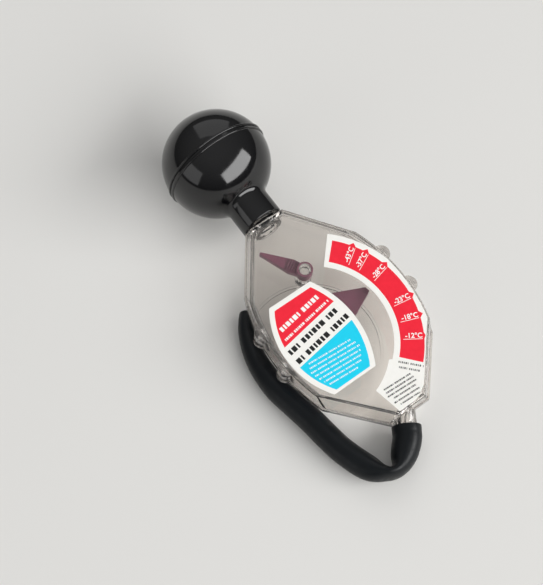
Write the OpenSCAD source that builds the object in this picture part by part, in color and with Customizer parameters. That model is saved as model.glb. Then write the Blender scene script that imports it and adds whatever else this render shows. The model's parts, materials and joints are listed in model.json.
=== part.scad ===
// Coolant tester: a clear leaf-shaped housing with a float pointer and a level flag inside,
// a squeeze bulb on one end and a suction hose on the other. It lies on its back, dial up,
// on the bulb, the housing's lower edge and the hose. Sizes are in millimetres.

/* [Housing outline] */
// Length of the clear housing, from the bulb's seat to the hose's seat
body_l = 107; // [100:0.5:116]
// Greatest width over the rim
body_w = 69.6; // [67:0.2:76]
// Radius of the two bowed sides
side_r = 80; // [68:1:90]
// Distance from the bulb's seat to the widest place
side_y = 57; // [52:0.5:62]
// Width of the end that the bulb sits on
top_w = 19.8; // [18:0.2:24]
// Slant of the shoulders from the long axis
shoulder_a = 36.5; // [33:0.5:41]
// Width of the end that the hose sits on
bottom_w = 20; // [17:0.2:24]
// Slant of the lower edges from the long axis
lower_a = 41.5; // [36:0.5:45]

/* [Housing section] */
// Depth of the front shell, parting plane to dial face
front_h = 8.8; // [8:0.1:11]
// Depth of the rear shell, parting plane to back
rear_h = 8.8; // [8:0.1:11]
// Wall of both shells
wall = 1.8; // [1.4:0.1:2.2]
// How far the welded rim stands out past the walls
rim_w = 0.6; // [0.4:0.1:1.4]
// Thickness of the rim on each shell
rim_t = 1.4; // [1:0.1:2]
// Rounding of the outer edges
edge_r = 0.9; // [0.6:0.1:1.8]
// Rounding of the inner corners
inner_r = 0.6; // [0.3:0.1:1]
// How far the face edge lies inside the rim on the bowed sides
side_lean = 1; // [0.8:0.1:2.2]
// The same on the bowed sides of the back, which make room for the hose
back_lean = 2.6; // [1.4:0.1:3]
// The same on the shoulders
shoulder_lean = 2.4; // [1.6:0.1:3.2]
// The same on the lower edges
lower_lean = 3; // [2:0.1:4]
// The same on the end that the bulb sits on
top_lean = 1.8; // [1:0.1:4]
// The same on the end that the hose sits on
end_lean = 1.2; // [1:0.1:2]
// Radius of the stepped well round the pointer, on the back
well_r = 29.6; // [26:0.2:31]
// Width of the well's rib
well_w = 1.2; // [0.8:0.1:2]
// Height of the well's rib
well_h = 0.8; // [0.4:0.1:1.4]

/* [Lugs] */
// Radius of the half-round lugs on the sides
lug_r = 4; // [3:0.1:5]
// How far a lug stands out past the rim
lug_out = 2.2; // [1.6:0.1:2.8]
// Distance from the bulb's seat to the first pair
lug_y = 43.8; // [40:0.2:48]
// Distance between the two pairs
lug_pitch = 18.2; // [14:0.2:22]
// How far the lugs stop short of the dial face
lug_drop = 1; // [0.6:0.1:2]
// Depth of the lugs' pads on the rear shell
lug_pad = 2.4; // [1.8:0.1:3.2]
// Diameter of the locating pins in the lugs
pin_d = 2; // [1.6:0.1:2.4]
// Length of the locating pins
pin_l = 1.6; // [1.2:0.1:1.8]
// Distance of the pins outside the centres of the lugs
pin_out = 1.5; // [1:0.1:2]

/* [Ends] */
// Outside diameter of the bulb's spigot
spigot_d = 14; // [12:0.2:15.6]
// Bore of the spigot
spigot_bore = 9; // [6:0.2:10]
// Length of the spigot
spigot_l = 13; // [8:0.5:15]
// Bore of the hose's nipple
nipple_bore = 5; // [3:0.2:6]
// Distance of the nipple's foot from the middle, towards the hose's side
nipple_x = 3; // [2.6:0.1:3.2]
// Lean of the nipple towards the hose's side, degrees
nipple_a = 32; // [31:0.5:33]
// Length of the nipple on its own axis
nipple_l = 7; // [6.6:0.1:7.4]

/* [Squeeze bulb] */
// Diameter of the bulb
bulb_d = 50; // [46:0.5:56]
// Wall of the bulb
bulb_wall = 2.4; // [1.6:0.1:3.2]
// Distance from the bulb's seat to its centre
bulb_reach = 36.3; // [34:0.1:42]
// Outside diameter of the neck
neck_d = 20; // [18:0.2:22]
// Radius of the blend from neck to bulb
neck_blend = 4; // [2:0.5:7]
// Radius of each bead of the double ridge round the bulb
ridge_r = 0.6; // [0.5:0.05:0.9]
// Distance between the two beads
ridge_gap = 2.2; // [1.6:0.1:3]

/* [Pivots] */
// Diameter of the two moulded pivot pegs
peg_d = 5.4; // [4:0.1:6]
// Wall of the hubs that turn on the pegs
hub_wall = 0.9; // [0.7:0.05:1.4]
// Depth of the pegs' sockets in the rear bosses
socket_l = 3; // [2:0.1:4]

/* [Pointer] */
// Pointer pivot, left of the long axis
pointer_x = 15.6; // [14:0.1:17]
// Pointer pivot, from the bulb's seat
pointer_y = 59.3; // [57:0.1:62]
// Reach of the pointer's tip
pointer_r = 34.3; // [30:0.1:34.6]
// Width of the blunt tip
pointer_tip_w = 2.4; // [1.6:0.1:3]
// Angle between a flank of the pointer and its centre line
flank_a = 25.7; // [20:0.1:27]
// Where the flanks end, from the pivot
flank_root = 10; // [9:0.1:14]
// Width of the pointer and of its ballast arm where they meet the hub
waist_w = 5.6; // [4:0.1:6]
// Thickness of the pointer's vane
pointer_t = 5; // [3:0.1:6]
// Height of the pointer's seat on its rear boss, below the parting plane
pointer_seat = 1.9; // [1.4:0.1:2.6]
// Rest angle of the pointer from the cross axis
pointer_rest = 11.2; // [0:0.1:20]
// Diameter of the ballast slug
ballast_d = 5; // [4:0.1:5.4]
// Length of the ballast slug
ballast_l = 4; // [2:0.1:4.4]
// Distance of the slug from the pivot
ballast_r = 9; // [8.4:0.1:9.6]
// Angle of the slug behind the pointer's centre line
ballast_a = 100; // [80:1:120]
// Plastic left round the slug
ballast_wall = 1.4; // [1:0.1:1.6]

/* [Level flag] */
// Flag pivot, from the bulb's seat
flag_y = 30.5; // [29:0.1:32]
// Reach of the flag's tip
flag_l = 21.2; // [17:0.1:21.4]
// Greatest width of the flag
flag_w = 6.4; // [5:0.1:7]
// Where the flag is widest, from its pivot
flag_root = 6.4; // [5:0.1:8]
// Width of the flag where it meets its hub
flag_waist = 5.4; // [4:0.1:6]
// Width of the flag's tip
flag_tip_w = 1; // [0.6:0.1:1.4]
// Thickness of the flag's vane
flag_t = 3; // [2:0.1:3.6]
// Height of the flag's seat on its rear boss, above the parting plane
flag_seat = 1.6; // [0.6:0.1:2]
// Rest angle of the flag, left of the long axis
flag_rest = 31.5; // [20:0.5:36]

/* [Labels] */
// Thickness of the two stickers
label_t = 0.2; // [0.1:0.05:0.4]
// Inner radius of the scale sticker, about the pointer's pivot
scale_in_r = 33.4; // [31:0.1:35]
// Outer radius of the scale sticker
scale_out_r = 49.2; // [44:0.1:50]
// Upper end of the scale sticker, from the cross axis
scale_top_a = 47.5; // [40:0.5:52]
// Lower end of the scale sticker, below the cross axis
scale_end_a = 78; // [60:0.5:80]
// Least distance from a sticker to the edge of the face
label_margin = 0.2; // [0.1:0.1:1]
// Centre of the middle sticker, left of the long axis
middle_x = 13; // [12:0.1:14]
// Centre of the middle sticker, from the bulb's seat
middle_y = 60; // [58:0.1:62]
// Greatest width of the middle sticker
middle_w = 37; // [30:0.2:37.4]
// Height of the middle sticker
middle_h = 46.6; // [40:0.2:48]
// Radius of the middle sticker's bowed sides
middle_r = 39.4; // [34:0.2:46]

/* [Suction hose] */
// Outside diameter where the hose sits on its nipple
hose_root_d = 12.8; // [12:0.1:13.4]
// Outside diameter of the main run
hose_d = 11.4; // [10.6:0.1:11.6]
// Outside diameter of the free end
hose_tip_d = 7.4; // [6.6:0.1:7.6]
// Wall of the hose
hose_wall = 2; // [1.6:0.1:2.4]
// How far the fold is pressed flat, as a share of the radius
fold_pinch = 0.56; // [0.4:0.01:0.58]
// Length over which the fold is pressed flat
fold_l = 6.5; // [6:0.5:8]

/* [Fits] */
// Radial gap between a hub and its peg
running_gap = 0.06; // [0.03:0.01:0.1]
// Gap at the ends of a hub
end_gap = 0.2; // [0.1:0.05:0.3]
// Radial gap round a fixed pin, peg end or slug
seat_gap = 0.03; // [0.01:0.01:0.08]
// How much the rubber is stretched over the spigot and the nipple, on the radius
rubber_grip = 0.2; // [0.05:0.05:0.4]

/* [Hidden] */

$fn = 96;
reach = 2 * (body_l + bulb_d);
cut = 1;

pointer_at = [-pointer_x, -pointer_y];
flag_at = [0, -flag_y];
middle_at = [-middle_x, -middle_y];
peg_r = peg_d / 2;
hub_bore_r = peg_r + running_gap;
hub_r = hub_bore_r + hub_wall;
front_in = front_h - wall;
rear_in = rear_h - wall;
hub_top = front_in - end_gap;
top_in = rim_w + wall + top_lean;
nipple_r = hose_root_d / 2 - hose_wall + rubber_grip;
neck_bore_r = spigot_d / 2 - rubber_grip;
bulb_r = bulb_d / 2;

// Straight edges of the outline: a point on the edge, the direction it faces, the lean of its wall
straight_edges = [
    [[top_w / 2, 0], shoulder_a, shoulder_lean],
    [[-top_w / 2, 0], 180 - shoulder_a, shoulder_lean],
    [[bottom_w / 2, -body_l], -lower_a, lower_lean],
    [[-bottom_w / 2, -body_l], 180 + lower_a, lower_lean],
    [[0, 0], 90, top_lean],
    [[0, -body_l], -90, end_lean]
];

// Direction of a wall from its foot on the rim to the face, and the way it faces
function wall_up(lean, h) = [rim_w - lean, h - rim_t] / norm([rim_w - lean, h - rim_t]);
function facing(up) = [up[1], -up[0]];
// Centre of the rounding between a wall through foot and a flat top at height h
function rounding_at(foot, up, h, r) =
    [foot[0] + (-r + (h - r - foot[1]) * up[0]) / up[1], h - r];

// Points of a rounding about c, in short steps from the way the wall faces to straight up
round_steps = 4;
function rounding(c, out, r) =
    let (a = atan2(out[1], out[0]))
    [for (i = [0:round_steps]) let (b = a + (90 - a) * i / round_steps) c + r * [cos(b), sin(b)]];

// How the tester lies: the ridge's lower bead and the rounded rear end edge both touch the floor
ridge_at = [bulb_reach - ridge_gap / 2, -sqrt(bulb_r ^ 2 - (ridge_gap / 2) ^ 2)];
end_round = rounding_at([-rim_w, rim_t], wall_up(end_lean, rear_h), rear_h, edge_r);
end_at = [-body_l - end_round[0], -end_round[1]];
span = ridge_at - end_at;
rest_a = asin((ridge_r - edge_r) / norm(span)) - atan2(span[1], span[0]);
rest_z = ridge_r - ridge_at[0] * sin(rest_a) - ridge_at[1] * cos(rest_a);
bulb_end = bulb_reach * cos(rest_a) + bulb_r;
nipple_end = -(body_l + nipple_l * cos(nipple_a)) * cos(rest_a)
    - nipple_r * norm([sin(nipple_a) * cos(rest_a), sin(rest_a)]);
rest_y = -(bulb_end + nipple_end) / 2;

// Middle line of the hose as it lies on the floor, from its nipple to its free end
hose_route = [
    [-5.2, -83, 8.1], [-5.9, -84.1, 8], [-6.7, -85.3, 7.8], [-7.5, -86.5, 7.7], [-8.5, -87.6, 7.6],
    [-9.8, -88.8, 7.5], [-12.2, -90.8, 7.3], [-14.8, -92.8, 7.1], [-17.4, -94.6, 7], [-20, -95.5, 6.9],
    [-22.5, -95.1, 6.8], [-24.5, -93.7, 6.7], [-26.7, -91.2, 6.6], [-29, -87, 6.4], [-31.2, -81, 6.2],
    [-33.2, -73.2, 6], [-34.3, -65.2, 5.9], [-35.3, -56.3, 5.9], [-36.9, -46.3, 5.9], [-38.5, -36.3, 5.9],
    [-38.6, -27.3, 5.7], [-37.6, -19.3, 5.3], [-35.6, -12.3, 4.9], [-33, -6.3, 4.5], [-30.2, -1.8, 4.2],
    [-27.4, 1.7, 3.9]
];
fold_point = 10;
taper_point = 19;
hose_sides = 12;

// Distance along the hose to each point of its route
function run_to(i) = i == 0 ? 0 : run_to(i - 1) + norm(hose_route[i] - hose_route[i - 1]);
hose_last = len(hose_route) - 1;
hose_runs = [for (i = [0:hose_last]) run_to(i)];
fold_s = hose_runs[fold_point];
taper_s = hose_runs[taper_point];
hose_l = hose_runs[hose_last];

hose_taper = [[0, hose_root_d], [fold_s, hose_d], [taper_s, hose_d], [hose_l, hose_tip_d]];
function hose_r(s) = lookup(s, hose_taper) / 2;
function pressed(s) = fold_pinch * exp(-((s - fold_s) / fold_l) ^ 2);
function unit(v) = v / norm(v);
function hose_heading(i) = unit(hose_route[min(i + 1, hose_last)] - hose_route[max(i - 1, 0)]);
// One ring of the hose, inset from its outside, flattened sideways where it is folded
function hose_ring(i, inset) =
    let (s = hose_runs[i], ahead = hose_heading(i))
    let (side = unit(cross([0, 0, 1], ahead)), up = cross(ahead, side))
    let (across = hose_r(s) * (1 - pressed(s)) - inset, tall = hose_r(s) * (1 + pressed(s) / 5) - inset)
    [for (k = [0:hose_sides - 1])
        let (a = 360 * k / hose_sides) hose_route[i] + across * cos(a) * side + tall * sin(a) * up];
// Two triangles for each cell between neighbouring rings that start at the given point numbers
function band(first, next, flip) = [
    for (k = [0:hose_sides - 1])
        let (m = (k + 1) % hose_sides, a = first + k, b = first + m, c = next + m, d = next + k)
            each flip ? [[a, c, b], [a, d, c]] : [[a, b, c], [a, c, d]]
];

module resting() {
    translate([0, rest_y, rest_z])
        rotate([rest_a, 0, 0])
            children();
}

// Gives a section the lean of its wall and the distance back to the middle of its block
module section(lean, far) {
    $lean = lean;
    $far = far;
    children();
}

// Block with the housing's outline, every edge cut to the section given as a child
module outlined(bow = side_lean) {
    intersection() {
        intersection_for (e = straight_edges)
            translate(e[0])
                rotate([90, 0, e[1]])
                    linear_extrude(height = 2 * reach, center = true)
                        section(e[2], reach)
                            children();
        intersection_for (s = [-1, 1])
            translate([s * (body_w / 2 - side_r), -side_y, 0])
                rotate_extrude()
                    translate([side_r, 0])
                        section(bow, side_r)
                            children();
    }
}

// Section of a shell's outside: rim, leaning wall, rounded edge, flat face
module outer_section(h) {
    up = wall_up($lean, h);
    foot = [-rim_w, rim_t];
    c = rounding_at(foot, up, h, edge_r);
    polygon([[-$far, 0], [0, 0], [0, rim_t], foot, each rounding(c, facing(up), edge_r), [-$far, h]]);
}

// Section of the space inside a shell
module inner_section(h) {
    up = wall_up($lean, h);
    foot = [-rim_w, rim_t] - wall * facing(up);
    low = foot - up * (foot[1] + cut) / up[1];
    c = rounding_at(foot, up, h - wall, inner_r);
    polygon([[-$far, -cut], low, each rounding(c, facing(up), inner_r), [-$far, h - wall]]);
}

// Section of a thin sheet on the flat part of the dial face
module sheet_section(z, t) {
    up = wall_up($lean, front_h);
    flat = rounding_at([-rim_w, rim_t], up, front_h, edge_r)[0] - label_margin;
    translate([-$far, z])
        square([$far + flat, t]);
}

function side_x(y) = body_w / 2 - side_r + sqrt(side_r ^ 2 - (y - side_y) ^ 2);

// Places its children at the centre of each lug, turned so that X points out
module at_lugs() {
    for (s = [0, 1], i = [0, 1])
        let (y = lug_y + i * lug_pitch)
            mirror([s, 0, 0])
                translate([side_x(y) + lug_out - lug_r, -y, 0])
                    children();
}

module upper_half() {
    intersection() {
        children();
        translate([-reach, -reach, 0])
            cube(2 * reach);
    }
}

module along_axis(from_y, l) {
    translate([0, from_y, 0])
        rotate([-90, 0, 0])
            linear_extrude(height = l)
                children();
}

// Where the nipple leaves the end wall, leaning to the side on which the hose lies
module at_nipple() {
    translate([-nipple_x, -body_l, 0])
        rotate([0, 0, -nipple_a])
            children();
}

// One half of the housing above the parting plane: walls, lugs, half a spigot and half a nipple
module half_housing(h, lug_h, bow) {
    difference() {
        union() {
            difference() {
                union() {
                    outlined(bow)
                        outer_section(h);
                    at_lugs()
                        cylinder(h = lug_h, r = lug_r);
                }
                outlined(bow)
                    inner_section(h);
            }
            upper_half() {
                along_axis(-top_in, top_in + spigot_l)
                    circle(d = spigot_d);
                at_nipple()
                    along_axis(-nipple_l, nipple_l + rim_w + wall)
                        circle(nipple_r);
            }
        }
        along_axis(-top_in - wall, spigot_l + top_in + wall + cut)
            circle(d = spigot_bore);
        at_nipple()
            along_axis(-nipple_l - cut, nipple_l + rim_w + 3 * wall + cut)
                circle(d = nipple_bore);
    }
}

// Peg on the front shell, reaching into the socket of the rear boss whose top is at seat
module peg(seat) {
    low = seat - socket_l + end_gap;
    translate([0, 0, low])
        cylinder(h = front_h - wall / 2 - low, r = peg_r);
}

module boss(seat) {
    translate([0, 0, -rear_h + wall / 2])
        cylinder(h = seat + rear_h - wall / 2, r = hub_r);
}

module socket(seat) {
    translate([0, 0, seat - socket_l])
        cylinder(h = socket_l + cut, r = peg_r + seat_gap);
}

module front_shell() {
    color([0.86, 0.87, 0.84, 0.4])
        resting() {
            half_housing(front_h, front_h - lug_drop, side_lean);
            translate(pointer_at)
                peg(-pointer_seat);
            translate(flag_at)
                peg(flag_seat);
            at_lugs()
                translate([pin_out, 0, -pin_l])
                    cylinder(h = pin_l + lug_pad, d = pin_d);
        }
}

module rear_shell() {
    color([0.8, 0.81, 0.78, 0.4])
        resting()
            difference() {
                union() {
                    mirror([0, 0, 1])
                        half_housing(rear_h, lug_pad, back_lean);
                    translate(pointer_at)
                        boss(-pointer_seat);
                    translate(flag_at)
                        boss(flag_seat);
                    well();
                }
                translate(pointer_at)
                    socket(-pointer_seat);
                translate(flag_at)
                    socket(flag_seat);
                at_lugs()
                    translate([pin_out, 0, -pin_l - end_gap])
                        cylinder(h = pin_l + end_gap + cut, r = pin_d / 2 + seat_gap);
            }
}

// Low round rib on the inside of the back, centred on the pointer
module well() {
    intersection() {
        translate([pointer_at[0], pointer_at[1], -rear_h + wall / 2])
            difference() {
                cylinder(h = wall / 2 + well_h, r = well_r + well_w);
                translate([0, 0, -cut])
                    cylinder(h = wall / 2 + well_h + 2 * cut, r = well_r);
            }
        mirror([0, 0, 1])
            outlined(back_lean)
                outer_section(rear_h);
    }
}

module squeeze_bulb() {
    blend_at = [
        neck_d / 2 + neck_blend,
        bulb_reach - sqrt((bulb_r + neck_blend) ^ 2 - (neck_d / 2 + neck_blend) ^ 2)
    ];
    centre = [0, bulb_reach];
    color([0.09, 0.09, 0.1])
        resting()
            rotate([-90, 0, 0])
                rotate_extrude()
                    difference() {
                        intersection() {
                            union() {
                                translate(centre)
                                    circle(bulb_r);
                                square([neck_d / 2, bulb_reach]);
                                difference() {
                                    polygon([[0, blend_at[1]], blend_at,
                                        blend_at + neck_blend * unit(centre - blend_at), centre]);
                                    translate(blend_at)
                                        circle(neck_blend);
                                }
                                for (s = [-1, 1])
                                    translate([-ridge_at[1], bulb_reach + s * ridge_gap / 2])
                                        circle(ridge_r);
                            }
                            square(reach);
                        }
                        translate(centre)
                            circle(bulb_r - bulb_wall);
                        translate([-cut, -cut])
                            square([neck_bore_r + cut, bulb_reach + cut]);
                    }
}

// Flat outline of the pointer, tip along X
module pointer_plan() {
    half_tip = pointer_tip_w / 2;
    half_root = half_tip + (pointer_r - flank_root) * tan(flank_a);
    polygon([
        [pointer_r, half_tip], [flank_root, half_root], [0, waist_w / 2],
        [0, -waist_w / 2], [flank_root, -half_root], [pointer_r, -half_tip]
    ]);
    rotate(-ballast_a) {
        translate([0, -waist_w / 2])
            square([ballast_r, waist_w]);
        translate([ballast_r, 0])
            circle(ballast_d / 2 + ballast_wall);
    }
}

module at_pointer() {
    resting()
        translate([pointer_at[0], pointer_at[1], -pointer_seat + end_gap])
            rotate(pointer_rest)
                children();
}

module at_ballast() {
    rotate(-ballast_a)
        translate([ballast_r, 0, 0])
            children();
}

module pointer_float() {
    color([0.42, 0.24, 0.33])
        at_pointer()
            difference() {
                union() {
                    linear_extrude(height = pointer_t)
                        pointer_plan();
                    cylinder(h = hub_top + pointer_seat - end_gap, r = hub_r);
                }
                translate([0, 0, -cut])
                    cylinder(h = front_h + rear_h, r = hub_bore_r);
                at_ballast()
                    translate([0, 0, -cut])
                        cylinder(h = ballast_l + cut, r = ballast_d / 2 + seat_gap);
            }
}

module pointer_ballast() {
    color([0.72, 0.6, 0.34])
        at_pointer()
            at_ballast()
                cylinder(h = ballast_l, d = ballast_d);
}

module level_flag() {
    color([0.42, 0.24, 0.33])
        resting()
            translate([flag_at[0], flag_at[1], flag_seat + end_gap])
                rotate(90 + flag_rest)
                    difference() {
                        union() {
                            linear_extrude(height = flag_t)
                                polygon([
                                    [flag_l, flag_tip_w / 2], [flag_root, flag_w / 2],
                                    [0, flag_waist / 2], [0, -flag_waist / 2],
                                    [flag_root, -flag_w / 2], [flag_l, -flag_tip_w / 2]
                                ]);
                            cylinder(h = hub_top - flag_seat - end_gap, r = hub_r);
                        }
                        translate([0, 0, -cut])
                            cylinder(h = front_h, r = hub_bore_r);
                    }
}

// Ring sector of the scale, trimmed to the flat of the dial face
module scale_label() {
    ends = [scale_top_a, -scale_end_a];
    color([0.96, 0.3, 0.3])
        resting()
            intersection() {
                translate(pointer_at)
                    linear_extrude(height = front_h + label_t)
                        intersection() {
                            difference() {
                                circle(scale_out_r);
                                circle(scale_in_r);
                            }
                            polygon([[0, 0], each [for (a = [ends[1], (ends[0] + ends[1]) / 2, ends[0]])
                                reach * [cos(a), sin(a)]]]);
                        }
                outlined()
                    sheet_section(front_h, label_t);
            }
}

module centre_label() {
    color([0.2, 0.75, 0.95])
        resting()
            translate([middle_at[0], middle_at[1], front_h])
                linear_extrude(height = label_t)
                    intersection() {
                        square([middle_w, middle_h], center = true);
                        for_both_sides()
                            circle(middle_r);
                    }
}

// Overlap of a left and a right copy, set apart to the middle sticker's width
module for_both_sides() {
    intersection_for (s = [-1, 1])
        translate([s * (middle_r - middle_w / 2), 0])
            children();
}

module suction_hose() {
    rings = hose_last + 1;
    inner_first = rings * hose_sides;
    last_ring = hose_last * hose_sides;
    color([0.12, 0.12, 0.13])
        polyhedron(
            points = [
                for (i = [0:hose_last]) each hose_ring(i, 0),
                for (i = [0:hose_last]) each hose_ring(i, hose_wall)
            ],
            faces = [
                for (i = [0:hose_last - 1])
                    let (ring = i * hose_sides)
                        each band(ring, ring + hose_sides, false),
                for (i = [0:hose_last - 1])
                    let (ring = inner_first + i * hose_sides)
                        each band(ring, ring + hose_sides, true),
                each band(0, inner_first, true),
                each band(last_ring, inner_first + last_ring, false)
            ]
        );
}

squeeze_bulb();
front_shell();
rear_shell();
pointer_float();
pointer_ballast();
level_flag();
scale_label();
centre_label();
suction_hose();
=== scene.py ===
import json
import math

import bmesh
import bpy
from mathutils import Matrix, Vector
from mathutils.bvhtree import BVHTree


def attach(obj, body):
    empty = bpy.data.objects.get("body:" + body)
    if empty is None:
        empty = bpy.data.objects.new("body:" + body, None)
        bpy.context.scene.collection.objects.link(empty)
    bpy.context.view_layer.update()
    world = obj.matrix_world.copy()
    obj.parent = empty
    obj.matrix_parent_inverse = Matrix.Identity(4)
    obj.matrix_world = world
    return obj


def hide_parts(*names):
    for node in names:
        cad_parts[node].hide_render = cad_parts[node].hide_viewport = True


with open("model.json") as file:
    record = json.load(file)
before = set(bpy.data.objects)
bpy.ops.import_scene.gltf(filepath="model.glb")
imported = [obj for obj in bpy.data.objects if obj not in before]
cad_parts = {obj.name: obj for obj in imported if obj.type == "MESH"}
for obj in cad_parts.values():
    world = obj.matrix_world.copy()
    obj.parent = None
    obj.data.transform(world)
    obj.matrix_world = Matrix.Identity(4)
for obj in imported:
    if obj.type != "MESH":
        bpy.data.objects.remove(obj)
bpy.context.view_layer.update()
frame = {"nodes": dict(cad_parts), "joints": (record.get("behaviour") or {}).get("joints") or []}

mm = 0.001
hinges = {joint["name"]: joint for joint in frame["joints"]}

# The dial's frame: on the pointer's pivot, X across, Y towards the bulb, Z out of the face
pivotAxis = Vector(hinges["pointer_swing"]["axis"])
lyingTilt = math.atan2(-pivotAxis.y, pivotAxis.z)
dial = Matrix.Translation(Vector(hinges["pointer_swing"]["pos_m"])) @ Matrix.Rotation(lyingTilt, 4, "X")
restAngles = {"pointer": 11.2, "flag": 121.5}  # degrees from the dial's X axis


def at(x, y, z=0.0):
    return Matrix.Translation(Vector((x, y, z)) * mm)


def turned(degrees):
    return Matrix.Rotation(math.radians(degrees), 4, "Z")


# Camera at the photograph's angle
camera = {
    "location": (-0.1401, -0.1876, 0.4689),
    "turn": (26.3, 1.2, -36.1),  # degrees
    "lens": 70.6, "sensor": 36, "nearest": 0.01,
}
cameraData = bpy.data.cameras.new("photoCamera")
cameraData.lens = camera["lens"]
cameraData.sensor_width = camera["sensor"]
cameraData.clip_start = camera["nearest"]
cameraObject = bpy.data.objects.new("photoCamera", cameraData)
cameraObject.location = camera["location"]
cameraObject.rotation_euler = [math.radians(a) for a in camera["turn"]]
bpy.context.scene.collection.objects.link(cameraObject)
bpy.context.scene.camera = cameraObject
bpy.context.scene.view_settings.view_transform = "Standard"
print("camera set")


# Colours are sRGB hex values
def linear(hexColour):
    parts = [int(hexColour[i:i + 2], 16) / 255 for i in (1, 3, 5)]
    return [c / 12.92 if c <= 0.04045 else ((c + 0.055) / 1.055) ** 2.4 for c in parts] + [1.0]


# Adds a node; an input given as (node, output) becomes a link
def addNode(tree, kind, settings, inputs):
    node = tree.nodes.new(kind)
    for key, value in settings.items():
        setattr(node, key, value)
    for key, value in inputs.items():
        if isinstance(value, tuple) and hasattr(value[0], "outputs"):
            tree.links.new(value[0].outputs[value[1]], node.inputs[key])
        else:
            node.inputs[key].default_value = value
    return node


def newMaterial(name):
    material = bpy.data.materials.new(name)
    material.use_nodes = True
    tree = material.node_tree
    tree.nodes.clear()
    return material, tree, addNode(tree, "ShaderNodeTexCoord", {}, {})


# Texture scale that gives features of a size in millimetres
def perMm(sizeMm):
    return 1 / (sizeMm * mm)


# The same for a wave texture, which repeats after pi / 10
def perWave(sizeMm):
    return perMm(sizeMm) * math.pi / 10


# In a Mix node for colours the sockets 0, 6 and 7 are the factor and the two colours, and output 2 the mix
def mottled(tree, coords, sizeMm, dark, light):
    grain = addNode(tree, "ShaderNodeTexNoise", {}, {
        "Vector": (coords, "Object"), "Scale": perMm(sizeMm), "Detail": 2.0})
    return addNode(tree, "ShaderNodeMix", {"data_type": "RGBA"}, {
        0: (grain, "Fac"), 6: linear(dark), 7: linear(light)})


def uneven(tree, coords, sizeMm, smooth, rough):
    grain = addNode(tree, "ShaderNodeTexNoise", {}, {
        "Vector": (coords, "Object"), "Scale": perMm(sizeMm), "Detail": 2.0})
    return addNode(tree, "ShaderNodeMapRange", {}, {
        "Value": (grain, "Fac"), "From Min": 0.3, "From Max": 0.7, "To Min": smooth, "To Max": rough})


# Clear polystyrene, injection moulded: glassy, a touch warm, with slow flow marks that bend reflections
def makeClearStyrene():
    material, tree, coords = newMaterial("clear polystyrene, moulded")
    flow = addNode(tree, "ShaderNodeTexNoise", {}, {
        "Vector": (coords, "Object"), "Scale": perMm(16), "Detail": 1.0})
    bump = addNode(tree, "ShaderNodeBump", {}, {
        "Height": (flow, "Fac"), "Distance": 0.1 * mm, "Strength": 0.5})
    shader = addNode(tree, "ShaderNodeBsdfPrincipled", {}, {
        "Base Color": linear("#F6F3F0"), "IOR": 1.57, "Transmission Weight": 1.0,
        "Roughness": (uneven(tree, coords, 5, 0.0, 0.05), "Result"), "Normal": (bump, "Normal")})
    addNode(tree, "ShaderNodeOutputMaterial", {}, {"Surface": (shader, "BSDF")})
    return material


# Soft PVC from a polished mould: deep black and mirror-like, a little wavy
def makeBulbVinyl():
    material, tree, coords = newMaterial("black soft PVC, polished mould")
    waves = addNode(tree, "ShaderNodeTexNoise", {}, {
        "Vector": (coords, "Object"), "Scale": perMm(8), "Detail": 1.0})
    bump = addNode(tree, "ShaderNodeBump", {}, {
        "Height": (waves, "Fac"), "Distance": 0.08 * mm, "Strength": 0.6})
    shader = addNode(tree, "ShaderNodeBsdfPrincipled", {}, {
        "Base Color": (mottled(tree, coords, 9, "#030304", "#08080A"), 2), "IOR": 1.54,
        "Roughness": (uneven(tree, coords, 3, 0.07, 0.13), "Result"), "Normal": (bump, "Normal")})
    addNode(tree, "ShaderNodeOutputMaterial", {}, {"Surface": (shader, "BSDF")})
    return material


# Nitrile rubber, moulded in a blasted tool: satin black that greys softly where light skims it
def makeHoseRubber():
    material, tree, coords = newMaterial("black nitrile rubber, satin")
    grit = addNode(tree, "ShaderNodeTexNoise", {}, {
        "Vector": (coords, "Object"), "Scale": perMm(0.8), "Detail": 3.0})
    bump = addNode(tree, "ShaderNodeBump", {}, {
        "Height": (grit, "Fac"), "Distance": 0.02 * mm, "Strength": 0.6})
    shader = addNode(tree, "ShaderNodeBsdfPrincipled", {}, {
        "Base Color": (mottled(tree, coords, 6, "#04070A", "#0A0F13"), 2), "IOR": 1.5,
        "Specular IOR Level": 0.26, "Roughness": (uneven(tree, coords, 2, 0.32, 0.46), "Result"),
        "Normal": (bump, "Normal")})
    addNode(tree, "ShaderNodeOutputMaterial", {}, {"Surface": (shader, "BSDF")})
    return material


# Plum polystyrene, moulded: half glossy, with the tool's fine lines along the vane,
# which are about 0.3 mm apart and are drawn 0.9 mm apart so that they show
def makePlumStyrene(name, lineAngle):
    material, tree, coords = newMaterial(name)
    turn = addNode(tree, "ShaderNodeMapping", {}, {
        "Vector": (coords, "Object"), "Rotation": (0.0, 0.0, math.radians(-lineAngle))})
    lines = addNode(tree, "ShaderNodeTexWave", {"bands_direction": "Y"}, {
        "Vector": (turn, "Vector"), "Scale": perWave(0.9), "Distortion": 0.3})
    bump = addNode(tree, "ShaderNodeBump", {}, {
        "Height": (lines, "Fac"), "Distance": 0.04 * mm, "Strength": 0.5})
    shader = addNode(tree, "ShaderNodeBsdfPrincipled", {}, {
        "Base Color": (mottled(tree, coords, 4, "#582C3E", "#6C3A4E"), 2), "IOR": 1.57,
        "Roughness": 0.3, "Normal": (bump, "Normal")})
    addNode(tree, "ShaderNodeOutputMaterial", {}, {"Surface": (shader, "BSDF")})
    return material


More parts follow.
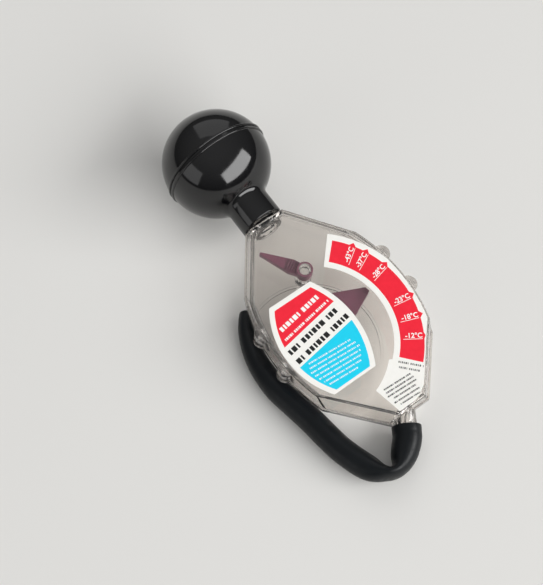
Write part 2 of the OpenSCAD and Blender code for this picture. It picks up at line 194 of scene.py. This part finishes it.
# Brass rod, turned: warm metal with lathe marks, drawn 0.25 mm apart so that they show
def makeBrass():
    material, tree, coords = newMaterial("brass, turned")
    lathe = addNode(tree, "ShaderNodeTexWave", {"bands_direction": "Z"}, {
        "Vector": (coords, "Object"), "Scale": perWave(0.25)})
    bump = addNode(tree, "ShaderNodeBump", {}, {
        "Height": (lathe, "Fac"), "Distance": 0.01 * mm, "Strength": 0.6})
    shader = addNode(tree, "ShaderNodeBsdfPrincipled", {}, {
        "Base Color": (mottled(tree, coords, 1.5, "#A98A4A", "#C9AA62"), 2), "Metallic": 1.0,
        "Roughness": (uneven(tree, coords, 0.5, 0.22, 0.36), "Result"), "Normal": (bump, "Normal")})
    addNode(tree, "ShaderNodeOutputMaterial", {}, {"Surface": (shader, "BSDF")})
    return material


# Vinyl film and the inks screened on it: even, faintly mottled, with a low satin gloss
def makeFilm(name, dark, light):
    material, tree, coords = newMaterial(name)
    shader = addNode(tree, "ShaderNodeBsdfPrincipled", {}, {
        "Base Color": (mottled(tree, coords, 2.4, dark, light), 2), "IOR": 1.46,
        "Roughness": (uneven(tree, coords, 0.8, 0.34, 0.46), "Result")})
    addNode(tree, "ShaderNodeOutputMaterial", {}, {"Surface": (shader, "BSDF")})
    return material


clearStyrene = makeClearStyrene()
bulbVinyl = makeBulbVinyl()
hoseRubber = makeHoseRubber()
pointerPlum = makePlumStyrene("plum polystyrene, moulded pointer", restAngles["pointer"])
flagPlum = makePlumStyrene("plum polystyrene, moulded flag", restAngles["flag"])
brass = makeBrass()
filmWhite = makeFilm("white vinyl film, satin", "#EEECE6", "#F6F5F1")
inkRed = makeFilm("red ink, screened", "#E8162F", "#F62038")
inkCyan = makeFilm("cyan ink, screened", "#06C8EA", "#0CD6F4")
inkBlack = makeFilm("black ink, screened", "#121212", "#1C1C1C")
inkWhite = makeFilm("white ink, screened", "#F4F2EF", "#FBFAF8")
print("materials made")


# Turns a bmesh into a finished piece that rides on a body
def finishPiece(name, bm, materials, body, replaced=None, smoothAngle=32):
    mesh = bpy.data.meshes.new(name)
    bm.to_mesh(mesh)
    bm.free()
    piece = bpy.data.objects.new(name, mesh)
    bpy.context.scene.collection.objects.link(piece)
    for material in materials:
        mesh.materials.append(material)
    if smoothAngle:
        mesh.shade_smooth()
        mesh.set_sharp_from_angle(angle=math.radians(smoothAngle))
    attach(piece, body)
    if replaced:
        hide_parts(replaced)
    return piece


# Suction hose: a moulded tube that leaves its nipple, folds over once and lies beside the housing
hose = {
    "route": [  # mm, the middle line from the nipple to the free end
        (-5.2, -83, 8.1), (-5.9, -84.1, 8), (-6.7, -85.3, 7.8), (-7.5, -86.5, 7.7), (-8.5, -87.6, 7.6),
        (-9.8, -88.8, 7.5), (-12.2, -90.8, 7.3), (-14.8, -92.8, 7.1), (-17.4, -94.6, 7), (-20, -95.5, 6.9),
        (-22.5, -95.1, 6.8), (-24.5, -93.7, 6.7), (-26.7, -91.2, 6.6), (-29, -87, 6.4), (-31.2, -81, 6.2),
        (-33.2, -73.2, 6), (-34.3, -65.2, 5.9), (-35.3, -56.3, 5.9), (-36.9, -46.3, 5.9), (-38.5, -36.3, 5.9),
        (-38.6, -27.3, 5.7), (-37.6, -19.3, 5.3), (-35.6, -12.3, 4.9), (-33, -6.3, 4.5), (-30.2, -1.8, 4.2),
        (-27.4, 1.7, 3.9),
    ],
    "rootD": 12.8, "runD": 11.4, "tipD": 7.4, "wall": 2.0,
    "cordD": 11.0, "foldPoint": 10, "foldPinch": 0.56, "foldBulge": 0.2, "foldLength": 6.5, "taperPoint": 19,
    "perSpan": 4, "sides": 40, "boreDepth": 12.0, "lipRound": 0.5, "lipCorner": 0.3, "boreLip": 0.5,
    "mouldLine": 0.1, "smoothAngle": 50,
}


# Points of a smooth line through the route, with the run along it
def smoothRoute(points, perSpan):
    knots = [Vector(p) for p in points]
    ends = [2 * knots[0] - knots[1], *knots, 2 * knots[-1] - knots[-2]]
    line = []
    for i in range(1, len(ends) - 2):
        p0, p1, p2, p3 = ends[i - 1:i + 3]
        for k in range(perSpan):
            t = k / perSpan
            line.append(0.5 * (2 * p1 + (p2 - p0) * t + (2 * p0 - 5 * p1 + 4 * p2 - p3) * t ** 2
                               + (3 * p1 - p0 - 3 * p2 + p3) * t ** 3))
    line.append(knots[-1])
    runs = [0.0]
    for a, b in zip(line, line[1:]):
        runs.append(runs[-1] + (b - a).length)
    return line, runs


def between(value, table):
    for (s0, v0), (s1, v1) in zip(table, table[1:]):
        if value <= s1:
            return v0 + (v1 - v0) * (value - s0) / (s1 - s0)
    return table[-1][1]


def makeHose():
    line, runs = smoothRoute(hose["route"], hose["perSpan"])
    foldRun, taperRun = (runs[hose[key] * hose["perSpan"]] for key in ("foldPoint", "taperPoint"))
    taper = [(0, hose["rootD"]), (foldRun, hose["runD"]), (taperRun, hose["runD"]), (runs[-1], hose["tipD"])]
    bm = bmesh.new()

    def ring(i, inset=0.0, back=0.0):
        ahead = (line[min(i + 1, len(line) - 1)] - line[max(i - 1, 0)]).normalized()
        side = Vector((0, 0, 1)).cross(ahead).normalized()
        up = ahead.cross(side)
        press = hose["foldPinch"] * math.exp(-((runs[i] - foldRun) / hose["foldLength"]) ** 2)
        radius = between(runs[i], taper) / 2
        across, tall = radius * (1 - press) - inset, radius * (1 + press * hose["foldBulge"]) - inset
        place = Matrix((
            (side.x * across, up.x * tall, ahead.x, line[i].x - ahead.x * back),
            (side.y * across, up.y * tall, ahead.y, line[i].y - ahead.y * back),
            (side.z * across, up.z * tall, ahead.z, line[i].z - ahead.z * back),
            (0, 0, 0, 1),
        ))
        made = bmesh.ops.create_circle(bm, segments=hose["sides"], radius=1.0,
                                       matrix=Matrix.Scale(mm, 4) @ place)
        if not inset:
            made["verts"][0].co += up * hose["mouldLine"] * mm  # the first point is the top
        return made["verts"]

    last = len(line) - 1
    lip = hose["lipRound"]
    boreFirst = next(i for i in range(last, 0, -1) if runs[last] - runs[i] > hose["boreDepth"])
    rings = [ring(0, hose["wall"]), ring(0)]
    rings += [ring(i) for i in range(1, last)]
    corner, boreLip = lip * hose["lipCorner"], lip * hose["boreLip"]
    rings += [ring(last, 0, lip), ring(last, corner, corner), ring(last, lip)]
    rings += [ring(last, hose["wall"] - boreLip), ring(last, hose["wall"], boreLip)]
    rings += [ring(i, hose["wall"]) for i in range(last - 1, boreFirst - 1, -1)]
    for a, b in zip(rings, rings[1:]):
        edges = {e for v in a for e in v.link_edges if e.other_vert(v) in set(a)}
        edges |= {e for v in b for e in v.link_edges if e.other_vert(v) in set(b)}
        bmesh.ops.bridge_loops(bm, edges=list(edges))
    for loop in (rings[0], rings[-1]):
        bmesh.ops.contextual_create(bm, geom=loop)
    bmesh.ops.recalc_face_normals(bm, faces=bm.faces)
    piece = finishPiece("suctionHose", bm, [hoseRubber], "housing", "suction_hose",
                        hose["smoothAngle"])


makeHose()
print("hose made")


# Squeeze bulb: blown sphere with a double ridge at its equator and a neck that blends into it
bulb = {
    "centre": (15.6, 95.6), "radius": 25.0, "wall": 2.4, "neckR": 10.0, "neckBlend": 4.0, "seat": 59.3,
    "boreR": 6.8, "ridgeR": 0.6, "ridgeGap": 2.2, "ridgeTurn": 100, "lip": 0.7,
    "sides": 128, "domeSteps": 30, "ridgeSteps": 8, "shoulderSteps": 16, "blendSteps": 8, "lipSteps": 4,
    "insideSteps": 32, "weld": 0.01, "smoothAngle": 40,
}


# Half outline of the bulb as points of radius and distance from its seat
def bulbOutline():
    reach = bulb["centre"][1] - bulb["seat"]
    r, blend, neck = bulb["radius"], bulb["neckBlend"], bulb["neckR"]
    blendY = reach - math.sqrt((r + blend) ** 2 - (neck + blend) ** 2)
    points = []

    def arc(cx, cy, radius, first, final, steps):
        for k in range(steps + 1):
            a = math.radians(first + (final - first) * k / steps)
            points.append((cx + radius * math.cos(a), cy + radius * math.sin(a)))

    half = math.degrees(math.asin(bulb["ridgeGap"] / 2 / r))
    bead = math.degrees(bulb["ridgeR"] / r)
    meet = math.degrees(math.atan2(blendY - reach, neck + blend))
    arc(0, reach, r, 90, half + bead, bulb["domeSteps"])
    for side in (half, -half):
        a = math.radians(side)
        arc(r * math.cos(a), reach + r * math.sin(a), bulb["ridgeR"], bulb["ridgeTurn"], -bulb["ridgeTurn"],
            bulb["ridgeSteps"])
    arc(0, reach, r, -half - bead, meet, bulb["shoulderSteps"])
    arc(neck + blend, blendY, blend, meet + 180, 180, bulb["blendSteps"])
    arc(neck - bulb["lip"], bulb["lip"], bulb["lip"], 0, -90, bulb["lipSteps"])
    points.append((bulb["boreR"], 0.0))
    inside = r - bulb["wall"]
    meetIn = math.degrees(math.asin(bulb["boreR"] / inside))
    arc(0, reach, inside, -90 + meetIn, 90, bulb["insideSteps"])
    return points


def makeBulb():
    bm = bmesh.new()
    axisAt = dial @ at(bulb["centre"][0], bulb["seat"])
    points = bulbOutline()
    verts = [bm.verts.new(axisAt @ Vector((r * mm, y * mm, 0))) for r, y in points]
    edges = [bm.edges.new(pair) for pair in zip(verts, verts[1:])]
    bmesh.ops.spin(bm, geom=verts + edges, cent=axisAt.translation, axis=axisAt.to_3x3() @ Vector((0, 1, 0)),
                   angle=2 * math.pi, steps=bulb["sides"], use_merge=True)
    bmesh.ops.remove_doubles(bm, verts=bm.verts, dist=bulb["weld"] * mm)
    bmesh.ops.recalc_face_normals(bm, faces=bm.faces)
    finishPiece("squeezeBulb", bm, [bulbVinyl], "housing", "squeeze_bulb", bulb["smoothAngle"])


makeBulb()
print("bulb made")


# Moulded pieces keep the solid's shape
moulding = {
    "weld": 0.002, "levelAngle": 1.0, "bevelAngle": 35, "bevelSteps": 2, "vaneRound": 0.25, "slugRound": 0.3,
    "flatArea": 30.0,  # mm2, a plane larger than this is shaded flat
}


# Smooth shading stops at the edges of a large plane, so that the view through it isn't bent;
# faces lie in one plane if their normals and distances round to the same
def keepFlatsFlat(mesh):
    bm = bmesh.new()
    bm.from_mesh(mesh)
    planes, areas = {}, {}
    for face in bm.faces:
        level = face.normal.dot(face.verts[0].co) / mm
        planes[face] = (*(round(part, 3) for part in face.normal), round(level, 2))
        areas[planes[face]] = areas.get(planes[face], 0.0) + face.calc_area() / mm ** 2
    for edge in bm.edges:
        meeting = {planes[face] for face in edge.link_faces}
        if len(meeting) > 1 and max(areas[plane] for plane in meeting) > moulding["flatArea"]:
            edge.smooth = False
    bm.to_mesh(mesh)
    bm.free()


# A merged copy of the solid gets smooth curves, rounded edges where a radius is given, and its detail
def mouldedCopy(name, node, materials, body, edgeRound, addDetail=None):
    bm = bmesh.new()
    bm.from_mesh(frame["nodes"][node].data)
    for face in bm.faces:
        face.material_index = 0
    bmesh.ops.remove_doubles(bm, verts=bm.verts, dist=moulding["weld"] * mm)
    if edgeRound:
        bmesh.ops.dissolve_limit(bm, angle_limit=math.radians(moulding["levelAngle"]), verts=bm.verts,
                                 edges=bm.edges)
    if addDetail:
        addDetail(bm)
    piece = finishPiece(name, bm, materials, body, node)
    if edgeRound:
        bevel = piece.modifiers.new("mould edges", "BEVEL")
        bevel.width = edgeRound * mm
        bevel.segments = moulding["bevelSteps"]
        bevel.limit_method = "ANGLE"
        bevel.angle_limit = math.radians(moulding["bevelAngle"])
    return piece


# Grip ribs across the flag's vane, next to its hub; the flag turns in a plane a little above the dial's pivot
flagRibs = {
    "pivot": (15.6, 28.8), "top": 4.8, "first": 4.4, "pitch": 1.05, "count": 4,
    "width": 0.5, "height": 1.0, "length": 5.2,
}


def addFlagRibs(bm):
    vane = dial @ at(*flagRibs["pivot"], flagRibs["top"]) @ turned(restAngles["flag"])
    size = Matrix.Diagonal((flagRibs["width"] * mm, flagRibs["length"] * mm, flagRibs["height"] * 2 * mm, 1))
    for k in range(flagRibs["count"]):
        rib = vane @ at(flagRibs["first"] + k * flagRibs["pitch"], 0)
        bmesh.ops.create_cube(bm, size=1.0, matrix=rib @ size)


# The pointer's wedge leans a little on the line from its pivot to its tip
pointerLean = {"root": 9.9, "tip": 34.3, "lean": 13.5}


def leanPointer(bm):
    along = dial @ turned(restAngles["pointer"])
    for v in bm.verts:
        p = along.inverted() @ v.co
        if p.x > pointerLean["root"] * mm:
            p.y += (pointerLean["tip"] * mm - p.x) * math.tan(math.radians(pointerLean["lean"]))
            v.co = along @ p


for shellName, shellNode in (("frontShell", "front_shell"), ("rearShell", "rear_shell")):
    shell = mouldedCopy(shellName, shellNode, [clearStyrene], "housing", 0)
    keepFlatsFlat(shell.data)
    shell.visible_shadow = False  # lamps shine through the clear plastic
mouldedCopy("pointerFloat", "pointer_float", [pointerPlum], "pointer", moulding["vaneRound"],
            leanPointer)
mouldedCopy("levelFlag", "level_flag", [flagPlum], "flag", moulding["vaneRound"], addFlagRibs)
mouldedCopy("pointerBallast", "pointer_ballast", [brass], "pointer", moulding["slugRound"])
print("moulded pieces made")


# Sticker film on the dial face, whose height is given from the pivot
film = {"face": 8.8, "thick": 0.2, "glue": 0.02}
filmTop = film["face"] + film["thick"]


# Puts a flat sticker on the face, right side up, and gives the film its thickness
def finishSticker(name, bm, x, y, materials, slot, replaced):
    bmesh.ops.recalc_face_normals(bm, faces=bm.faces)
    if sum(f.normal.z for f in bm.faces) < 0:
        bmesh.ops.reverse_faces(bm, faces=bm.faces)
    bmesh.ops.transform(bm, matrix=dial @ at(x, y, filmTop), verts=bm.verts)
    piece = finishPiece(name, bm, materials, "housing", replaced, 0)
    thick = piece.modifiers.new("film", "SOLIDIFY")
    thick.thickness = (film["thick"] - film["glue"]) * mm
    thick.offset = -1


# Scale sticker: white ring sector with a red band, a red tooth at each number and a white tab
scale = {
    "inner": 33.4, "outer": 49.2, "bandIn": 36.0, "bandOut": 46.4, "beyond": 80.0, "near": 0.01,
    "ends": (47.4, -77.9), "band": (44.4, -48.0), "step": 2.5,
    "toothHalf": 1.9, "toothOut": 1.5, "toothMargin": 0.35, "tab": (-50.6, -51.6), "tabIn": 1.4,
    "marks": [(33.0, 43), (25.0, 37), (12.7, 28), (-9.2, 23), (-21.0, 18), (-33.0, 12)],
}


# Radius where a ray across the solid sticker, at an angle about the pivot, meets its edge
def stickerEdge(tree, angle, outwards):
    level = film["face"] + film["thick"] / 2
    ray = Vector((math.cos(math.radians(angle)), math.sin(math.radians(angle)), 0))
    start = 0.0 if outwards else scale["beyond"]
    point = dial @ (ray * start * mm + Vector((0, 0, level * mm)))
    heading = dial.to_3x3() @ (ray if outwards else -ray)
    hit = tree.ray_cast(point, heading)
    return None if hit[0] is None else abs(start - hit[3] / mm)


def makeScaleSticker():
    node = frame["nodes"]["scale_label"].data
    tree = BVHTree.FromPolygons([v.co for v in node.vertices], [p.vertices for p in node.polygons])
    teeth = [angle for angle, degrees in scale["marks"]]
    stops = [scale["ends"][1], *reversed(scale["tab"]), *reversed(scale["band"]), scale["ends"][0]]
    for angle in teeth:
        stops += [angle - scale["toothHalf"], angle, angle + scale["toothHalf"]]
    stops = sorted(stops)
    bm = bmesh.new()
    radii = [scale["inner"], scale["bandIn"], scale["bandOut"], scale["outer"]]
    first = turned(stops[0])
    verts = [bm.verts.new(first @ Vector((r * mm, 0, 0))) for r in radii]
    geom = verts + [bm.edges.new(pair) for pair in zip(verts, verts[1:])]
    for a, b in zip(stops, stops[1:]):
        spun = bmesh.ops.spin(bm, geom=geom, cent=(0, 0, 0), axis=(0, 0, 1), angle=math.radians(b - a),
                              steps=max(1, math.ceil((b - a) / scale["step"])))
        geom = spun["geom_last"]
    for face in bm.faces:
        c = face.calc_center_median()
        r, angle = c.length / mm, math.degrees(math.atan2(c.y, c.x))
        inBand = scale["bandIn"] < r < scale["bandOut"] and scale["band"][1] < angle < scale["band"][0]
        face.material_index = 1 if inBand else 0
    for v in bm.verts:
        r, angle = v.co.length / mm, math.degrees(math.atan2(v.co.y, v.co.x))
        edge = stickerEdge(tree, angle, False) or scale["outer"]
        if abs(r - scale["outer"]) < scale["near"]:
            r = edge
        elif abs(r - scale["inner"]) < scale["near"]:
            r = stickerEdge(tree, angle, True) or scale["inner"]
            if angle < scale["tab"][0] - scale["near"]:
                r -= scale["tabIn"] * (angle - scale["ends"][1]) / (scale["tab"][1] - scale["ends"][1])
        elif abs(r - scale["bandOut"]) < scale["near"]:
            tooth = any(abs(angle - t) < scale["near"] for t in teeth)
            r = min(r + (scale["toothOut"] if tooth else 0), edge - scale["toothMargin"])
        v.co = Vector((math.cos(math.radians(angle)), math.sin(math.radians(angle)), 0)) * r * mm
    finishSticker("scaleSticker", bm, 0, 0, [filmWhite, inkRed], "scale_film", "scale_label")


makeScaleSticker()
print("scale sticker made")


# Middle sticker: white border round a red, a white and a cyan panel, cut by two slanted lines
middle = {
    "centre": (2.6, -0.7), "height": 46.6, "right": (17.4, 45.0), "left": (18.5, 39.4),  # reach, radius
    "border": 2.3, "lowBorder": 1.2, "cornerIn": 0.7,
    "redLine": (7.8, 9.1), "cyanLine": (-3.3, 8.2), "arcSteps": 24,  # height on the middle, slant
}


def makeMiddleSticker():
    bm = bmesh.new()
    for side, (reach, radius) in ((1, middle["right"]), (-1, middle["left"])):
        half = math.degrees(math.asin(middle["height"] / 2 / radius))
        centre = Vector((side * (reach - radius) * mm, 0, 0))
        vert = bm.verts.new(centre + turned(-half).to_3x3() @ Vector((side * radius * mm, 0, 0)))
        bmesh.ops.spin(bm, geom=[vert], cent=centre, axis=(0, 0, 1), angle=math.radians(2 * half),
                       steps=middle["arcSteps"])
    corners = sorted((v for v in bm.verts if len(v.link_edges) == 1), key=lambda v: (v.co.y, v.co.x))
    bm.edges.new(corners[:2])
    bm.edges.new(corners[2:])
    bmesh.ops.contextual_create(bm, geom=bm.edges[:])
    panel = bm.faces[:]
    bmesh.ops.inset_region(bm, faces=panel, thickness=middle["border"] * mm, use_boundary=True,
                           use_even_offset=True)
    drop = (middle["border"] - middle["lowBorder"]) * mm
    for v in sorted(panel[0].verts, key=lambda v: v.co.y)[:2]:  # the panel's lower corners
        v.co.y -= drop
        v.co.x -= math.copysign(drop * middle["cornerIn"], v.co.x)
    panel[0].material_index = 1  # what is cut from the panel keeps its number, the border stays white
    slopes = []
    for height, slant in (middle["redLine"], middle["cyanLine"]):
        slopes.append((height, math.tan(math.radians(slant))))
        panels = [f for f in bm.faces if f.material_index == 1]
        geom = panels + [e for f in panels for e in f.edges] + [v for f in panels for v in f.verts]
        bmesh.ops.bisect_plane(bm, geom=list(dict.fromkeys(geom)), plane_co=(0, height * mm, 0),
                               plane_no=turned(slant).to_3x3() @ Vector((0, 1, 0)))
    for face in bm.faces:
        if face.material_index == 1:
            c = face.calc_center_median() / mm
            aboveRed, aboveCyan = (c.y > height + c.x * slope for height, slope in slopes)
            face.material_index = 1 if aboveRed else (0 if aboveCyan else 2)
    finishSticker("middleSticker", bm, *middle["centre"], [filmWhite, inkRed, inkCyan], "centre_film",
                  "centre_label")


makeMiddleSticker()
print("middle sticker made")


# Printing: temperatures on the band, and plain bars in rows where the stickers have small print
printing = {
    "rise": 0.03, "sink": 0.02, "weld": 0.0005, "textSize": 3.1, "weight": 0.065, "numberEnd": 45.7,
    "underline": (1.5, 0.24, 8.4),  # drop, thickness, length
    "widths": (1.1, 0.7, 1.3, 0.9, 1.5, 0.6, 1.2),  # of the bars in turn, as shares of bar
    "wordBars": 6, "wordGap": 0.6, "leastBar": 0.3,
    "slant": 9.0,  # of the rows on red and white
    "redRows": [(14.2, 2.2, -10.6, 12.4), (9.75, 1.1, -12.3, 13.9)],  # height, size, ends
    "blackRows": [(4.4, 2.4, -15.2, 13.8), (-0.7, 2.4, -15.6, 15.0)],
    "bigBar": (0.6, 0.28), "blackFirst": 3,  # bar and gap, as shares of the size
    "cyanSlant": -4.0,
    "cyanRows": [(-7.2, -11.2, 9.6), (-9.2, -12.0, 11.2), (-11.2, -12.6, 12.0), (-13.2, -11.9, 11.2),
                 (-15.2, -11.0, 10.4), (-17.2, -9.9, 8.8), (-19.2, -8.5, 6.2)],  # height, from, to
    "cyanSize": 0.7, "cyanBar": (0.55, 0.5),  # bar, gap
    "captions": [(22.6, -28.2, 10.8), (21.3, -30.2, 9.6)],  # start, length
    "captionSlant": -46.0, "captionSize": 0.85, "captionBar": (0.45, 0.45),
    "tabSlant": -3.2,
    "tabRows": [(-33.8, 11.8, 25.7), (-35.5, 11.8, 25.8), (-37.2, 11.5, 26.5), (-38.95, 13.5, 24.4),
                (-40.8, 12.4, 25.5), (-42.6, 14.3, 24.0)],  # height, from, to
    "tabSize": 0.7, "tabBar": (0.8, 0.4),
}


def printedText(bm, words, place):
    curve = bpy.data.curves.new("print", "FONT")
    curve.body = words
    curve.size = printing["textSize"] * mm
    curve.offset = printing["weight"] * mm
    curve.extrude = printing["rise"] * mm
    curve.align_x = "RIGHT"
    curve.align_y = "CENTER"
    holder = bpy.data.objects.new("print", curve)
    bpy.context.scene.collection.objects.link(holder)
    bpy.context.view_layer.update()
    mesh = bpy.data.meshes.new_from_object(holder.evaluated_get(bpy.context.evaluated_depsgraph_get()))
    bpy.data.objects.remove(holder)
    bpy.data.curves.remove(curve)
    mesh.transform(place)
    bm.from_mesh(mesh)
    bpy.data.meshes.remove(mesh)


def printedBar(bm, place, x, y, w, h):
    size = Matrix.Diagonal((w * mm, h * mm, (printing["rise"] + printing["sink"]) * mm, 1))
    level = (printing["rise"] - printing["sink"]) / 2
    bmesh.ops.create_cube(bm, size=1.0, matrix=place @ at(x, y, level) @ size)


# Bars from x0 to x1, grouped like words, each about bar times as long as it is high;
# rows that start with another bar of the widths don't look alike
def barRow(bm, place, y, h, x0, x1, bars, firstBar):
    bar, gap = bars
    widths, wordBars = printing["widths"], printing["wordBars"]
    x, k = x0, firstBar
    while x < x1 - h * printing["leastBar"]:
        w = min(h * bar * widths[k % len(widths)], x1 - x)
        printedBar(bm, place, x + w / 2, y, w, h)
        k += 1
        x += w + h * (gap if k % wordBars else gap + printing["wordGap"])


def makePrinting():
    numbers, white, black, fine = (bmesh.new() for k in range(4))
    drop, thick, length = printing["underline"]
    for angle, degrees in scale["marks"]:
        place = dial @ turned(angle) @ at(printing["numberEnd"], 0, filmTop)
        printedText(numbers, "-%d°C" % degrees, place)
        printedBar(numbers, place, -length / 2, -drop, length, thick)
    bmesh.ops.remove_doubles(numbers, verts=numbers.verts, dist=printing["weld"] * mm)
    bmesh.ops.recalc_face_normals(numbers, faces=numbers.faces)
    centre = dial @ at(*middle["centre"], filmTop)
    for k, row in enumerate(printing["redRows"]):
        barRow(white, centre @ turned(printing["slant"]), *row, printing["bigBar"], k)
    for k, row in enumerate(printing["blackRows"], printing["blackFirst"]):
        barRow(black, centre @ turned(printing["slant"]), *row, printing["bigBar"], k)
    for k, (height, start, end) in enumerate(printing["cyanRows"]):
        place = centre @ turned(printing["cyanSlant"])
        barRow(white, place, height, printing["cyanSize"], start, end, printing["cyanBar"], k)
    for k, (x, y, run) in enumerate(printing["captions"]):
        place = dial @ at(x, y, filmTop) @ turned(printing["captionSlant"])
        barRow(fine, place, 0, printing["captionSize"], 0, run, printing["captionBar"], k)
    for k, (height, start, end) in enumerate(printing["tabRows"]):
        place = dial @ at(0, 0, filmTop) @ turned(printing["tabSlant"])
        barRow(fine, place, height, printing["tabSize"], start, end, printing["tabBar"], k)
    finishPiece("scaleNumbers", numbers, [inkWhite], "housing", None, 0)
    finishPiece("middlePrintWhite", white, [inkWhite], "housing", None, 0)
    finishPiece("middlePrintBlack", black, [inkBlack], "housing", None, 0)
    finishPiece("scalePrintFine", fine, [inkBlack], "housing", None, 0)


makePrinting()
print("printing made")


# Floor and light: soft boxes stand far off, beside what the dial mirrors, and the sky is paler overhead
studio = {
    "floorSize": 100.0, "floorColour": "#E2E1DE", "skyColour": "#FFFFFF", "horizon": 0.1, "zenith": 0.44,
    "lamps": [  # metres and watts
        {"name": "window", "at": (1.7, -4.1, 2.6), "size": (7.4, 2.6), "power": 375.0},
        {"name": "side", "at": (-4.3, -0.24, 1.6), "size": (2.8, 2.4), "power": 20.0},
        {"name": "back", "at": (2.2, 4.2, 3.8), "size": (5.6, 4.8), "power": 48.0},
    ],
}


def makeStudio():
    bm = bmesh.new()
    bmesh.ops.create_grid(bm, x_segments=1, y_segments=1, size=studio["floorSize"] / 2)
    mesh = bpy.data.meshes.new("floor")
    bm.to_mesh(mesh)
    bm.free()
    floor = bpy.data.objects.new("floor", mesh)
    paint, tree, coords = newMaterial("pale floor paint")
    shader = addNode(tree, "ShaderNodeBsdfPrincipled", {}, {
        "Base Color": linear(studio["floorColour"]), "Roughness": 0.6, "Specular IOR Level": 0.2})
    addNode(tree, "ShaderNodeOutputMaterial", {}, {"Surface": (shader, "BSDF")})
    mesh.materials.append(paint)
    bpy.context.scene.collection.objects.link(floor)

    world = bpy.data.worlds.new("studio")
    world.use_nodes = True
    tree = world.node_tree
    tree.nodes.clear()
    coords = addNode(tree, "ShaderNodeTexCoord", {}, {})
    heading = addNode(tree, "ShaderNodeSeparateXYZ", {}, {"Vector": (coords, "Object")})
    rise = addNode(tree, "ShaderNodeMapRange", {}, {
        "Value": (heading, "Z"), "To Min": studio["horizon"], "To Max": studio["zenith"]})
    glow = addNode(tree, "ShaderNodeBackground", {}, {
        "Strength": (rise, "Result"), "Color": linear(studio["skyColour"])})
    addNode(tree, "ShaderNodeOutputWorld", {}, {"Surface": (glow, "Background")})
    bpy.context.scene.world = world

    for lamp in studio["lamps"]:
        data = bpy.data.lights.new(lamp["name"], "AREA")
        data.shape = "RECTANGLE"
        data.size, data.size_y = lamp["size"]
        data.energy = lamp["power"]
        light = bpy.data.objects.new(lamp["name"], data)
        light.location = lamp["at"]
        light.rotation_euler = (-Vector(lamp["at"])).to_track_quat("-Z", "Y").to_euler()
        bpy.context.scene.collection.objects.link(light)


makeStudio()
print("studio made")
